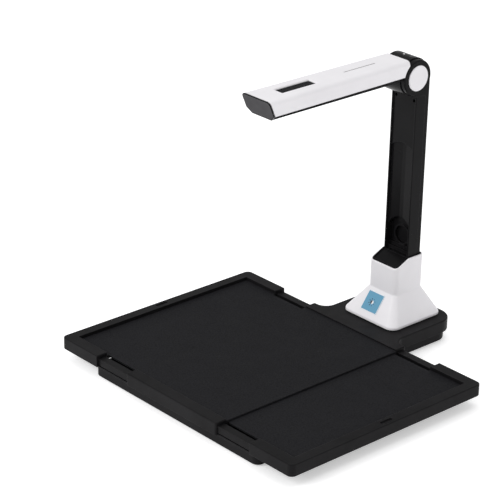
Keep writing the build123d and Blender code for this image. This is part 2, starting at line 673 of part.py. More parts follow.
with BuildPart() as column_rear:
    centred_block(POST_HALF, (POST_SPLIT, POST_BACK), (POST_BOTTOM, HINGE_Z))
    fillet(column_rear.edges().filter_by(Axis.Z).group_by(Axis.Y)[-1], 3.0)
    centred_block(POST_HALF, (POST_FRONT, POST_SPLIT), (POST_FRONT_TOP, HINGE_Z))
    with Locations(Location((0, HINGE_Y, HINGE_Z), ALONG_X)):
        Cylinder(HUB_RADIUS, 2 * POST_HALF)
    # the left cheek is as large as the barrel
    with Locations(Location((-mid(CHEEK_INNER, POST_HALF), HINGE_Y, HINGE_Z), ALONG_X)):
        Cylinder(BARREL_RADIUS, POST_HALF - CHEEK_INNER)
    with Locations(Location((0, HINGE_Y, HINGE_Z), ALONG_X)):
        Cylinder(BARREL_RADIUS + 0.6, 2 * CHEEK_INNER, mode=Mode.SUBTRACT)
        Cylinder(AXLE_RADIUS, 2 * POST_HALF - 2, mode=Mode.SUBTRACT)
    hub_rims = column_rear.edges().filter_by(GeomType.CIRCLE)
    fillet([e for e in hub_rims if abs(abs(e.center().X) - POST_HALF) < 0.01 and e.radius > 20], HUB_EDGE)
    with Locations(*[Location((x, HINGE_Y, HINGE_Z), ALONG_X) for x in (-POST_HALF, POST_HALF)]):
        Cylinder(CAP_RADIUS, 2.0, mode=Mode.SUBTRACT)
    centred_block(
        POST_HALF - POST_WALL,
        (POST_SPLIT - 1, POST_BACK - POST_WALL),
        (POST_BOTTOM + POST_FLOOR, POST_FRONT_TOP - 6),
        Mode.SUBTRACT,
    )
    # wire way through the bottom and up into the hub
    centred_block(4.5, (POST_SPLIT + 2.5, POST_SPLIT + 7), (POST_BOTTOM - 1, HINGE_Z - 18), Mode.SUBTRACT)
    with Locations(*[(x, y, POST_BOTTOM) for x, y in POST_SCREWS if y > POST_SPLIT]):
        Cylinder(SCREW_RADIUS, 9, align=ON_FLOOR, mode=Mode.SUBTRACT)
finish(column_rear, "column_rear")

with BuildPart() as column_screws:
    with Locations(*[(x, y, TONGUE_TOP - 3) for x, y in POST_SCREWS]):
        Cylinder(SCREW_RADIUS, 12, align=ON_FLOOR)
        Cylinder(SCREW_HEAD, SCREW_HEAD_TALL, align=UNDER)
    with Locations(*top_screw_spots(5.2)):
        Cylinder(SMALL_HEAD, 1.6)
    with Locations(*top_screw_spots(9.5)):
        Cylinder(SMALL_SCREW, 9)
finish(column_screws, "column_screws")

with BuildPart() as wire_harness:
    with Locations(*[(x, POST_SPLIT + 4.7, BOARD_Z + BOARD_THICK) for x in (-2.4, 0, 2.4)]):
        Cylinder(WIRE_RADIUS, HINGE_Z - 30 - BOARD_Z, align=ON_FLOOR)
finish(wire_harness, "wire_harness")

# ---------------------------------------------------------------- hinge
WASHER_RADIUS = 10.0
WASHER_THICK = 1.4
WASHER_SUNK = WASHER_THICK + 0.1 - CHEEK_INNER + BARREL_HALF   # depth of its seat in the barrel

with BuildPart() as hinge_axle:
    with Locations(Location((0, HINGE_Y, HINGE_Z), ALONG_X)):
        Cylinder(AXLE_RADIUS, 2 * POST_HALF - 2.2)
        Cylinder(AXLE_RADIUS - 1.4, 2 * POST_HALF, mode=Mode.SUBTRACT)
finish(hinge_axle, "hinge_axle")

for side, hand in ((-1, "left"), (1, "right")):
    with BuildPart() as hinge_cap:
        with Locations(Location((side * (POST_HALF + (CAP_PROUD - 1) / 2), HINGE_Y, HINGE_Z), ALONG_X)):
            Cylinder(CAP_RADIUS - 0.05, CAP_PROUD + 1)
        outer_edge = hinge_cap.edges().sort_by(lambda e: side * e.center().X)[-1]
        fillet(outer_edge, 0.8)
    finish(hinge_cap, f"hinge_cap_{hand}")

with BuildPart() as friction_washers:
    for side in (-1, 1):
        with Locations(Location((side * (CHEEK_INNER - WASHER_THICK / 2), HINGE_Y, HINGE_Z), ALONG_X)):
            Cylinder(WASHER_RADIUS, WASHER_THICK)
            Cylinder(AXLE_RADIUS, WASHER_THICK, mode=Mode.SUBTRACT)
finish(friction_washers, "friction_washers")

# ---------------------------------------------------------------- head
HEAD_PLANE = Plane(origin=(0, HINGE_Y, HINGE_Z), x_dir=(1, 0, 0), z_dir=(0, -1, 0))
END_PLANE = Plane(
    origin=(0, out_to_y(HEAD_LENGTH), HINGE_Z + HEAD_TOP),
    x_dir=(1, 0, 0),
    z_dir=(0, BOX_BOTTOM - HEAD_TOP, -HEAD_SLANT),
)
SEAM_PLANE = END_PLANE.offset(-CAP_THICK)
SHELL_PLANE = END_PLANE.offset(-CAP_THICK - CAP_SEAM)
HUB_CLEARANCE = BARREL_RADIUS + 0.2
INNER_HALF = HEAD_HALF - HEAD_WALL
CAVITY_START = 31.0
ARM_HALF = 12.4
ARM_LENGTH = 62.0
FLANGE_TOP = HEAD_BOTTOM + 2.2   # top of the bottom cover's flange inside the shell
ARM_BOTTOM = FLANGE_TOP + 0.7
HEAD_SCREW = 1.2
HEAD_SCREWS = [(x, out) for x in (-12.5, 12.5) for out in (74.0, 247.5)]


def head_block(half, out_range, up_range, mode=Mode.ADD):
    """A box symmetrical about the middle plane, by its limits out from and up from the hinge."""
    y_range = (out_to_y(out_range[1]), out_to_y(out_range[0]))
    z_range = (HINGE_Z + up_range[0], HINGE_Z + up_range[1])
    centred_block(half, y_range, z_range, mode)


def head_spot(x, out, up):
    """World position of a point given from the hinge."""
    return (x, out_to_y(out), HINGE_Z + up)


def head_profile(out, half, box_half=0, inset=0):
    """Section of the head with rounded top corners; with a box half it also covers the box."""
    with BuildSketch(HEAD_PLANE.offset(out), mode=Mode.PRIVATE) as sketch:
        right_side = [(half - inset, HEAD_TOP - inset), (half - inset, HEAD_BOTTOM)]
        if box_half:
            right_side.append((box_half - inset / 2, BOX_BOTTOM + inset))
        left_side = [(-x, y) for x, y in reversed(right_side)]
        with BuildLine():
            Polyline(*right_side, *left_side, close=True)
        make_face()
        fillet(at_corner(sketch, half - inset, HEAD_TOP - inset), HEAD_ROUND - inset)
    return sketch.sketch


def head_solid(box_half=0, inset=0):
    """The head's outside from the hinge to its tip, before the tip is cut."""
    with BuildPart(mode=Mode.PRIVATE) as solid:
        rear = head_profile(HEAD_REAR, HEAD_HALF, box_half, inset)
        tip = head_profile(HEAD_LENGTH, HEAD_TIP_HALF, box_half, inset)
        loft([rear, tip], ruled=True)
    return solid.part


def end_plate():
    """Thin plate let into the end cap."""
    with BuildPart(mode=Mode.PRIVATE) as plate:
        add(head_solid(BOX_HALF, PLATE_INSET))
        split(bisect_by=END_PLANE.offset(-PLATE_THICK), keep=Keep.TOP)
        split(bisect_by=END_PLANE, keep=Keep.BOTTOM)
    return plate.part


with BuildPart() as head_top_shell:
    add(head_solid())
    split(bisect_by=SHELL_PLANE, keep=Keep.BOTTOM)
    cavity = (CAVITY_START, HEAD_LENGTH)
    head_block(INNER_HALF, cavity, (HEAD_BOTTOM - 1, HEAD_TOP - HEAD_ROUND), Mode.SUBTRACT)
    head_block(HEAD_HALF - HEAD_ROUND, cavity, (HEAD_BOTTOM, HEAD_TOP - HEAD_WALL), Mode.SUBTRACT)
    with Locations(Location((0, HINGE_Y, HINGE_Z), ALONG_X)):
        Cylinder(HUB_CLEARANCE, 60, mode=Mode.SUBTRACT)
    arm_slot = (ARM_BOTTOM - 0.1, HEAD_TOP - HEAD_WALL)
    head_block(ARM_HALF + 0.1, (5, CAVITY_START + 1), arm_slot, Mode.SUBTRACT)
    with Locations(*[head_spot(x, out, FLANGE_TOP + 0.2) for x, out in HEAD_SCREWS]):
        Cylinder(2.6, HEAD_TOP - FLANGE_TOP - 1.2, align=ON_FLOOR)
        Cylinder(HEAD_SCREW, 9, align=ON_FLOOR, mode=Mode.SUBTRACT)
    head_block(WINDOW_WIDTH / 2, (WINDOW_START, WINDOW_END), (HEAD_TOP - 4, HEAD_TOP + 1), Mode.SUBTRACT)
    window_rim = [
        e
        for e in head_top_shell.edges().group_by(Axis.Z)[-1]
        if abs(e.center().X) < WINDOW_WIDTH and WINDOW_START - 1 < HINGE_Y - e.center().Y < WINDOW_END + 1
    ]
    chamfer(window_rim, WINDOW_BEVEL)
    head_block(SLIT_WIDTH / 2, (SLIT_START, SLIT_END), (HEAD_TOP - 4, HEAD_TOP + 1), Mode.SUBTRACT)
finish(head_top_shell, "head_top_shell")

with BuildPart() as head_end_cap:
    # outer plate, then a plug that bridges the seam and goes into the shell
    add(head_solid(BOX_HALF))
    split(bisect_by=SEAM_PLANE, keep=Keep.TOP)
    split(bisect_by=END_PLANE, keep=Keep.BOTTOM)
    fillet(head_end_cap.faces().sort_by(Axis.Y)[0].edges(), 0.6)
    add(end_plate(), mode=Mode.SUBTRACT)
    with BuildPart(mode=Mode.PRIVATE) as plug:
        head_block(INNER_HALF - 1, (LENS_OUT, HEAD_LENGTH), (FLANGE_TOP + 0.2, HEAD_TOP - HEAD_ROUND - 0.2))
        split(bisect_by=SEAM_PLANE, keep=Keep.BOTTOM)
        split(bisect_by=SHELL_PLANE.offset(-3), keep=Keep.TOP)
    add(plug.part)
finish(head_end_cap, "head_end_cap")

with BuildPart() as head_end_plate:
    add(end_plate())
finish(head_end_plate, "head_end_plate")

LENS_HOLE = 9.0
DIFFUSERS = [(172.0, 190.0), (196.0, 214.0)]
DIFFUSER_HALF = 7.0

with BuildPart() as head_bottom_cover:
    head_block(INNER_HALF - 0.1, (CAVITY_START + 0.2, HEAD_LENGTH), (HEAD_BOTTOM, FLANGE_TOP))
    head_block(BOX_HALF, (BOX_START, HEAD_LENGTH), (BOX_BOTTOM, HEAD_BOTTOM))
    fillet(head_bottom_cover.faces().sort_by(Axis.Z)[0].edges(), 0.8)
    split(bisect_by=SHELL_PLANE, keep=Keep.BOTTOM)
    head_block(
        BOX_HALF - BOX_WALL,
        (BOX_START + 6, BOX_INNER_END),
        (BOX_BOTTOM + BOX_WALL, FLANGE_TOP + 1),
        Mode.SUBTRACT,
    )
    with Locations(*[head_spot(x, out, BOX_BOTTOM + 1) for x, out in HEAD_SCREWS]):
        Cylinder(3.2, FLANGE_TOP - BOX_BOTTOM - 1, align=ON_FLOOR)
    with Locations(head_spot(0, LENS_OUT, BOX_BOTTOM)):
        Cylinder(LENS_HOLE, 8, mode=Mode.SUBTRACT)
    for first, last in DIFFUSERS:
        head_block(DIFFUSER_HALF, (first, last), (BOX_BOTTOM - 1, BOX_BOTTOM + 3), Mode.SUBTRACT)
    with Locations(*[head_spot(x, out, BOX_BOTTOM) for x, out in HEAD_SCREWS]):
        Cylinder(SMALL_HEAD + 0.2, 2.6, align=ON_FLOOR, mode=Mode.SUBTRACT)
        Cylinder(HEAD_SCREW + 0.1, 12, align=ON_FLOOR, mode=Mode.SUBTRACT)
finish(head_bottom_cover, "head_bottom_cover")

with BuildPart() as hinge_barrel:
    with Locations(Location((0, HINGE_Y, HINGE_Z), ALONG_X)):
        Cylinder(BARREL_RADIUS, 2 * BARREL_HALF)
    head_block(ARM_HALF, (10, ARM_LENGTH), (ARM_BOTTOM, HEAD_TOP - HEAD_WALL - 0.1))
    with Locations(Location((0, HINGE_Y, HINGE_Z), ALONG_X)):
        Cylinder(AXLE_RADIUS + 0.06, 2 * POST_HALF, mode=Mode.SUBTRACT)
    for side in (-1, 1):
        with Locations(Location((side * BARREL_HALF, HINGE_Y, HINGE_Z), ALONG_X)):
            Cylinder(WASHER_RADIUS + GAP, 2 * WASHER_SUNK, mode=Mode.SUBTRACT)
finish(hinge_barrel, "hinge_barrel")

with BuildPart() as head_window:
    window_out = (WINDOW_START + 0.05, WINDOW_END - 0.05)
    head_block(WINDOW_WIDTH / 2 - 0.05, window_out, (HEAD_TOP - 3.4, HEAD_TOP - HEAD_WALL))
finish(head_window, "head_window")

with BuildPart() as head_light_slit:
    slit_out = (SLIT_START + 0.05, SLIT_END - 0.05)
    head_block(SLIT_WIDTH / 2 - 0.05, slit_out, (HEAD_TOP - HEAD_WALL, HEAD_TOP - 0.3))
finish(head_light_slit, "head_light_slit")

BEZEL_TALL = 3.0
LENS_FRONT = BOX_BOTTOM - BEZEL_TALL
BEZEL_RADIUS = 11.0
LENS_BORE = 7.0
BARREL_UP = LENS_FRONT + 1.5
BARREL_TALL = 12.5
GLASS_RADIUS = 4.5
GLASS_UP = LENS_FRONT + 3.4
GLASS_BULGE = 1.1

with BuildPart() as lens_bezel:
    with Locations(head_spot(0, LENS_OUT, LENS_FRONT)):
        Cylinder(BEZEL_RADIUS, BEZEL_TALL, align=ON_FLOOR)
        Cylinder(LENS_HOLE - 0.05, BEZEL_TALL + 3, align=ON_FLOOR)
    fillet(lens_bezel.edges().group_by(Axis.Z)[0], 1.0)
    with Locations(head_spot(0, LENS_OUT, LENS_FRONT - 1)):
        Cone(LENS_BORE + 2, LENS_BORE, 3, align=ON_FLOOR, mode=Mode.SUBTRACT)
        Cylinder(LENS_BORE, 12, align=ON_FLOOR, mode=Mode.SUBTRACT)
finish(lens_bezel, "lens_bezel")

with BuildPart() as lens_barrel:
    with Locations(head_spot(0, LENS_OUT, BARREL_UP)):
        Cylinder(LENS_BORE - 0.1, BARREL_TALL, align=ON_FLOOR)
        Cylinder(GLASS_RADIUS + 0.1, 5, align=ON_FLOOR, mode=Mode.SUBTRACT)
finish(lens_barrel, "lens_barrel")

with BuildPart() as lens_glass:
    with Locations(head_spot(0, LENS_OUT, GLASS_UP)):
        Cylinder(GLASS_RADIUS, 2.6, align=ON_FLOOR)
    with BuildSketch(Plane.XZ.offset(-LENS_Y)):
        with BuildLine():
            top = HINGE_Z + GLASS_UP
            ThreePointArc((-GLASS_RADIUS, top), (0, top - GLASS_BULGE), (GLASS_RADIUS, top))
            Line((GLASS_RADIUS, top), (-GLASS_RADIUS, top))
        make_face()
        split(bisect_by=Plane.YZ)
    revolve(axis=Axis((0, LENS_Y, 0), (0, 0, 1)))
finish(lens_glass, "lens_glass")

BOARD_UP = BARREL_UP + BARREL_TALL
with BuildPart() as camera_board:
    head_block(16.0, (LENS_OUT - 14, LENS_OUT + 8), (BOARD_UP, BOARD_UP + BOARD_THICK))
    head_block(6.0, (LENS_OUT - 6, LENS_OUT + 6), (BOARD_UP + BOARD_THICK, BOARD_UP + 3.0))
finish(camera_board, "camera_board")

LED_SPOTS = [(x, out) for x in (-4, 0, 4) for out in (178, 184, 202, 208)]

with BuildPart() as led_board:
    head_block(12.0, (166, 220), (BOX_BOTTOM + 3.4, BOX_BOTTOM + 4.6))
    with Locations(*[head_spot(x, out, BOX_BOTTOM + 2.9) for x, out in LED_SPOTS]):
        Box(2.4, 2.4, 1.0)
finish(led_board, "led_board")

with BuildPart() as led_diffusers:
    for first, last in DIFFUSERS:
        head_block(DIFFUSER_HALF - 0.05, (first + 0.05, last - 0.05), (BOX_BOTTOM - 0.4, BOX_BOTTOM + 1.8))
    fillet(led_diffusers.edges().group_by(Axis.Z)[0], 0.3)
finish(led_diffusers, "led_diffusers")

with BuildPart() as head_screws:
    with Locations(*[head_spot(x, out, BOX_BOTTOM + 1.2) for x, out in HEAD_SCREWS]):
        Cylinder(SMALL_HEAD, 1.4, align=ON_FLOOR)
        Cylinder(HEAD_SCREW, 14, align=ON_FLOOR)
finish(head_screws, "head_screws")
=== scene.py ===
import json
import math

import bmesh
import bpy
from mathutils import Matrix, Vector


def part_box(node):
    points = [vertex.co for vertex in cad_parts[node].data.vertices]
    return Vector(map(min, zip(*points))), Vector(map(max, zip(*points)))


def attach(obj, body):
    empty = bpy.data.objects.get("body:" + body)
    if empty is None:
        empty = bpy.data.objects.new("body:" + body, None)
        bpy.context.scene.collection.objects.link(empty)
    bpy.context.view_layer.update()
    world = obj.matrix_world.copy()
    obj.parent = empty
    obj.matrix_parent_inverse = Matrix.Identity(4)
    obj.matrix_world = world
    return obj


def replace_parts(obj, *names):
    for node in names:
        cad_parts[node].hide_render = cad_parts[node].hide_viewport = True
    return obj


# Looks for the book scanner. Everything is in metres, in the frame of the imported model.

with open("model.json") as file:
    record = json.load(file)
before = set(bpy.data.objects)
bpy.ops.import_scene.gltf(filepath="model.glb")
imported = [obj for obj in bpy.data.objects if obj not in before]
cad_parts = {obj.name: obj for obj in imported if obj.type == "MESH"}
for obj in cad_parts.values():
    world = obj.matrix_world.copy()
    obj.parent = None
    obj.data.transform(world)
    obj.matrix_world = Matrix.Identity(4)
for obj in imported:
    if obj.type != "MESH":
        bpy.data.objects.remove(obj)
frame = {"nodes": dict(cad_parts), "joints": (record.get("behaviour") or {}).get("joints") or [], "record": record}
scene = bpy.context.scene
MM = 0.001


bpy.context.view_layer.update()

# ---------------------------------------------------------------- where things are
HINGE = Vector(next(j["pos_m"] for j in frame["joints"] if j["name"] == "head_fold"))
BARREL_RADIUS = HINGE.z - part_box("hinge_barrel")[0].z


# ---------------------------------------------------------------- camera
CAMERA_AIM = Vector((-0.0594, -0.0426, 0.1647))
CAMERA_DISTANCE = 2.7836
CAMERA_AZIMUTH = math.radians(47.61)
CAMERA_ELEVATION = math.radians(24.0)
CAMERA_ROLL = math.radians(1.33)
LENS = 152.97
SENSOR_WIDTH = 36.0
NEAREST, FARTHEST = 0.1, 100.0    # what the camera clips


def looking(place, direction):
    """Matrix of a camera or a lamp that looks along a direction."""
    return Matrix.Translation(place) @ direction.to_track_quat("-Z", "Y").to_matrix().to_4x4()


def add_camera():
    """The camera of the reference view."""
    data = bpy.data.cameras.new("camera")
    data.lens = LENS
    data.sensor_width = SENSOR_WIDTH
    data.clip_start = NEAREST
    data.clip_end = FARTHEST
    camera = bpy.data.objects.new("camera", data)
    scene.collection.objects.link(camera)
    flat = math.cos(CAMERA_ELEVATION)
    back = Vector((
        math.sin(CAMERA_AZIMUTH) * flat,
        -math.cos(CAMERA_AZIMUTH) * flat,
        math.sin(CAMERA_ELEVATION),
    ))
    roll = Matrix.Rotation(CAMERA_ROLL, 4, "Z")
    camera.matrix_world = looking(CAMERA_AIM + back * CAMERA_DISTANCE, -back) @ roll
    scene.camera = camera


add_camera()

# ---------------------------------------------------------------- materials


NOISE_LOW, NOISE_HIGH = 0.3, 0.7  # the range that most of a noise lies in
BEVEL_SAMPLES = 6
EDGE_START, EDGE_FULL = 0.99, 0.80     # how far the softened normal turns where wear starts and is full
MIX_FACTOR, MIX_FIRST, MIX_SECOND = 0, 6, 7    # sockets of a colour mix
MIX_RESULT = 2


class Nodes:
    """Short-hand for building one node material."""

    def __init__(self, name):
        self.material = bpy.data.materials.new(name)
        self.material.use_nodes = True
        self.tree = self.material.node_tree
        self.shader = self.tree.nodes["Principled BSDF"]
        self.place = self.add("ShaderNodeTexCoord").outputs["Object"]

    def add(self, kind, **settings):
        """A node with its properties and its unlinked inputs set."""
        node = self.tree.nodes.new(kind)
        for key, value in settings.items():
            if key in node.inputs:
                node.inputs[key].default_value = value
            else:
                setattr(node, key, value)
        return node

    def link(self, output, target):
        """Join an output to an input."""
        self.tree.links.new(output, target)

    def set(self, **values):
        """Constants on the shader's own sockets; underscores stand for spaces."""
        for key, value in values.items():
            self.shader.inputs[key.replace("_", " ")].default_value = value

    def noise(self, size, detail=2.0, stretch=None):
        """Noise whose features are about one size across, in metres."""
        node = self.add("ShaderNodeTexNoise", Scale=1.0 / size, Detail=detail)
        source = self.place
        if stretch:
            mapping = self.add("ShaderNodeMapping", Scale=stretch)
            self.link(source, mapping.inputs["Vector"])
            source = mapping.outputs["Vector"]
        self.link(source, node.inputs["Vector"])
        return node.outputs["Fac"]

    def blend(self, factor, first, second, low=0.35, high=0.65):
        """Colour that goes from first to second as a factor goes from low to high."""
        ramp = self.add("ShaderNodeValToRGB")
        ramp.color_ramp.elements[0].position = low
        ramp.color_ramp.elements[0].color = (*first, 1)
        ramp.color_ramp.elements[1].position = high
        ramp.color_ramp.elements[1].color = (*second, 1)
        self.link(factor, ramp.inputs["Fac"])
        return ramp.outputs["Color"]

    def spread(self, factor, low, high):
        """A factor's middle stretched over a range of values."""
        node = self.add("ShaderNodeMapRange")
        node.inputs["From Min"].default_value = NOISE_LOW
        node.inputs["From Max"].default_value = NOISE_HIGH
        node.inputs["To Min"].default_value = low
        node.inputs["To Max"].default_value = high
        self.link(factor, node.inputs["Value"])
        return node.outputs["Result"]

    def mixed(self, factor, first, second):
        """Colour that is first where the factor is 0 and second where it is 1."""
        node = self.add("ShaderNodeMix", data_type="RGBA")
        self.link(factor, node.inputs[MIX_FACTOR])
        self.link(first, node.inputs[MIX_FIRST])
        node.inputs[MIX_SECOND].default_value = (*second, 1)
        return node.outputs[MIX_RESULT]

    def rounded(self, radius):
        """Normal that softens every sharp edge by a small radius."""
        return self.add("ShaderNodeBevel", Radius=radius, samples=BEVEL_SAMPLES).outputs["Normal"]

    def wear(self, radius, size, amount):
        """Mask of rubbed edges: near an edge, and broken up by noise."""
        dot = self.add("ShaderNodeVectorMath", operation="DOT_PRODUCT")
        self.link(self.rounded(radius), dot.inputs[0])
        self.link(self.add("ShaderNodeNewGeometry").outputs["Normal"], dot.inputs[1])
        edge = self.add("ShaderNodeMapRange")
        edge.inputs["From Min"].default_value = EDGE_START
        edge.inputs["From Max"].default_value = EDGE_FULL
        self.link(dot.outputs["Value"], edge.inputs["Value"])
        patches = self.spread(self.noise(size, 5), 0.0, amount)
        product = self.add("ShaderNodeMath", operation="MULTIPLY", use_clamp=True)
        self.link(edge.outputs["Result"], product.inputs[0])
        self.link(patches, product.inputs[1])
        return product.outputs["Value"]

    def bump(self, height, depth, strength=1.0, below=None):
        """Bump of a depth in metres, over another normal if one is given."""
        node = self.add("ShaderNodeBump", Strength=strength, Distance=depth)
        self.link(height, node.inputs["Height"])
        if below:
            self.link(below, node.inputs["Normal"])
        return node.outputs["Normal"]

    def finish(self, color=None, rough=None, normal=None):
        """Links the shader's textured inputs, and returns the material."""
        if color:
            self.link(color, self.shader.inputs["Base Color"])
        if rough:
            self.link(rough, self.shader.inputs["Roughness"])
        if normal:
            self.link(normal, self.shader.inputs["Normal"])
        return self.material


EDGE_SOFT = 0.5 * MM              # radius of the softened moulded edges
RUBBED_REACH = 2 * EDGE_SOFT      # how far from an edge the wear goes
RUBBED_PATCH = 6 * MM             # length of one worn stretch of an edge
DRIFT_SIZE = 60 * MM              # of the slow changes in a moulding's colour
HANDLING_SIZE = 18 * MM           # of the patches that hands have polished


def moulded(name, dark, light, worn, rough, grain, depth, specular=0.5):
    """Moulded plastic: faint colour drift, uneven gloss from handling, a fine grain and rubbed edges."""
    n = Nodes(name)
    n.set(IOR=1.5, Specular_IOR_Level=specular)
    drift = n.noise(DRIFT_SIZE, 3)
    handling = n.noise(HANDLING_SIZE, 4)
    fine = n.noise(grain, 3)
    color = n.mixed(n.wear(RUBBED_REACH, RUBBED_PATCH, 0.7), n.blend(drift, dark, light), worn)
    gloss = n.spread(handling, *rough)
    return n.finish(color, gloss, n.bump(fine, depth, below=n.rounded(EDGE_SOFT)))


BED_CELL = 1.6 * MM
BED_RELIEF = 0.18 * MM


def textured_bed(name):
    """Non-slip surface: close leather-like cells with a little dust-grey in the valleys."""
    n = Nodes(name)
    n.set(IOR=1.45, Specular_IOR_Level=0.06)
    cells = n.add("ShaderNodeTexVoronoi", Scale=1 / BED_CELL, feature="SMOOTH_F1")
    n.link(n.place, cells.inputs["Vector"])
    distance = cells.outputs["Distance"]
    color = n.blend(distance, (0.016, 0.016, 0.018), (0.007, 0.007, 0.008), 0.2, 0.8)
    gloss = n.spread(n.noise(30 * MM, 3), 0.58, 0.64)
    worn = n.mixed(n.wear(RUBBED_REACH, 8 * MM, 0.6), color, (0.040, 0.040, 0.042))
    return n.finish(worn, gloss, n.bump(distance, BED_RELIEF, 0.7))


def printed_film(name, dark, light, rough):
    """Printed plastic film with the faint fleck of its ink."""
    n = Nodes(name)
    n.set(Coat_Weight=0.2, Coat_Roughness=0.18, Specular_IOR_Level=0.35)
    fleck = n.noise(0.4 * MM, 2)
    gloss = n.spread(n.noise(6 * MM), rough, rough + 0.08)
    return n.finish(n.blend(fleck, dark, light), gloss, n.bump(fleck, 0.01 * MM))


def brushed_metal(name, dark, light, rough):
    """Plated metal with fine turning marks."""
    n = Nodes(name)
    n.set(Metallic=1.0)
    marks = n.noise(0.6 * MM, 4, stretch=(1.0, 1.0, 9.0))
    color = n.mixed(n.wear(0.2 * MM, 1 * MM, 0.8), n.blend(marks, dark, light), (0.80, 0.80, 0.80))
    return n.finish(color, n.spread(marks, rough, rough + 0.15), n.bump(marks, 0.02 * MM, 0.4))


def rubber(name):
    """Soft black rubber with a dry, finely pitted skin."""
    n = Nodes(name)
    n.set(Specular_IOR_Level=0.2)
    pits = n.noise(0.8 * MM, 4)
    color = n.blend(pits, (0.005, 0.005, 0.005), (0.011, 0.011, 0.011))
    return n.finish(color, n.spread(n.noise(10 * MM), 0.72, 0.88), n.bump(pits, 0.08 * MM))


BOARD_RUNS = 170.0                # bricks of the copper pattern to a metre


def circuit_board(name):
    """Solder mask with copper runs under it."""
    n = Nodes(name)
    runs = n.add("ShaderNodeTexBrick", Scale=BOARD_RUNS)
    runs.inputs["Color1"].default_value = (0.010, 0.085, 0.035, 1)
    runs.inputs["Color2"].default_value = (0.014, 0.120, 0.050, 1)
    runs.inputs["Mortar"].default_value = (0.030, 0.200, 0.080, 1)
    runs.inputs["Mortar Size"].default_value = 0.05
    n.link(n.place, runs.inputs["Vector"])
    gloss = n.spread(n.noise(4 * MM), 0.28, 0.42)
    return n.finish(runs.outputs["Color"], gloss, n.bump(runs.outputs["Fac"], 0.04 * MM))


def smoked_window(name):
    """Dark clear plastic with a little haze and fine dust."""
    n = Nodes(name)
    n.set(IOR=1.5, Specular_IOR_Level=0.02)
    dust = n.noise(0.9 * MM, 4)
    color = n.blend(dust, (0.006, 0.006, 0.007), (0.014, 0.014, 0.016), 0.5, 0.8)
    return n.finish(color, n.spread(n.noise(10 * MM), 0.25, 0.35))


def frosted(name, dark, light):
    """Frosted diffuser with light scattered under its skin."""
    n = Nodes(name)
    n.set(Subsurface_Weight=0.35, Subsurface_Scale=2 * MM, Transmission_Weight=0.15)
    frost = n.noise(0.5 * MM, 3)
    gloss = n.spread(n.noise(4 * MM), 0.38, 0.5)
    return n.finish(n.blend(frost, dark, light), gloss, n.bump(frost, 0.03 * MM))


def coated_glass(name):
    """Lens glass with the violet cast of its coating."""
    n = Nodes(name)
    n.set(Transmission_Weight=0.85, IOR=1.62, Coat_Weight=1.0, Coat_Roughness=0.02)
    n.set(Coat_Tint=(0.75, 0.62, 1.0, 1.0))
    color = n.blend(n.noise(6 * MM, 1), (0.10, 0.06, 0.22), (0.20, 0.14, 0.34))
    return n.finish(color, n.spread(n.noise(2 * MM), 0.01, 0.03))


def grey(value, tint=0.04):
    """A near-neutral colour, a little towards blue-violet."""
    return (value, value * (1 - tint), value * (1 + tint))


BLACK_WORN = grey(0.045)
WHITE_SHELL = moulded(
    "white_shell_look",
    dark=(0.80, 0.785, 0.81),
    light=(0.84, 0.825, 0.85),
    worn=(0.70, 0.69, 0.68),
    rough=(0.30, 0.42),
    grain=1.1 * MM,
    depth=0.02 * MM,
    specular=0.4,
)
GLOSS_BLACK = moulded(
    "gloss_black_look",
    dark=grey(0.0065),
    light=grey(0.0085),
    worn=BLACK_WORN,
    rough=(0.18, 0.28),
    grain=4.0 * MM,
    depth=0.01 * MM,
    specular=0.06,
)
BLACK_SHELL = moulded(
    "black_shell_look",
    dark=grey(0.0075),
    light=grey(0.0105),
    worn=BLACK_WORN,
    rough=(0.40, 0.50),
    grain=0.7 * MM,
    depth=0.05 * MM,
    specular=0.06,
)
BLACK_RAIL = moulded(
    "black_rail_look",
    dark=grey(0.006),
    light=grey(0.008),
    worn=BLACK_WORN,
    rough=(0.34, 0.44),
    grain=1.2 * MM,
    depth=0.02 * MM,
    specular=0.06,
)
GREY_CAP = moulded(
    "grey_cap_look",
    dark=grey(0.036),
    light=grey(0.044),
    worn=grey(0.08),
    rough=(0.40, 0.50),
    grain=0.9 * MM,
    depth=0.03 * MM,
    specular=0.08,
)
JACKET = moulded(
    "wire_jacket_look",
    dark=grey(0.02),
    light=grey(0.03),
    worn=grey(0.05),
    rough=(0.5, 0.62),
    grain=0.6 * MM,
    depth=0.03 * MM,
)
WASHER = moulded(
    "washer_look",
    dark=(0.62, 0.60, 0.55),
    light=(0.70, 0.68, 0.62),
    worn=(0.50, 0.48, 0.44),
    rough=(0.4, 0.5),
    grain=0.8 * MM,
    depth=0.02 * MM,
)
STEEL = brushed_metal("steel_look", grey(0.42), grey(0.62), 0.26)
LOOKS = {
    "black_shell": BLACK_SHELL,
    "black_rail": BLACK_RAIL,
    "black_bed": textured_bed("black_bed_look"),
    "white_shell": WHITE_SHELL,
    "gloss_black": GLOSS_BLACK,
    "grey_cap": GREY_CAP,
    "dark_window": smoked_window("dark_window_look"),
    "diffuser": frosted("diffuser_look", (0.70, 0.72, 0.74), (0.80, 0.82, 0.84)),
    "blue_label": printed_film("blue_label_look", (0.100, 0.30, 0.45), (0.120, 0.34, 0.51), 0.45),
    "rubber": rubber("rubber_look"),
    "steel": STEEL,
    "ballast": brushed_metal("ballast_look", grey(0.20), grey(0.38), 0.42),
    "circuit_board": circuit_board("circuit_board_look"),
    "wire_jacket": JACKET,
    "washer": WASHER,
    "lens_glass": coated_glass("lens_glass_look"),
}
WHITE_INK = printed_film("white_ink_look", grey(0.80, 0.01), grey(0.86, 0.01), 0.5)
DARK_INK = printed_film("dark_ink_look", (0.020, 0.026, 0.040), (0.030, 0.038, 0.055), 0.5)
# Grey ink for the bars on the barrel. The same grey also paints the faint ring that stands in for the far cheek's
# rim highlight.
GREY_INK_AND_HIGHLIGHT = printed_film("grey_ink_and_highlight_look", grey(0.10), grey(0.14), 0.5)
SCREW_BLACK = brushed_metal("black_steel_look", grey(0.05), grey(0.09), 0.32)

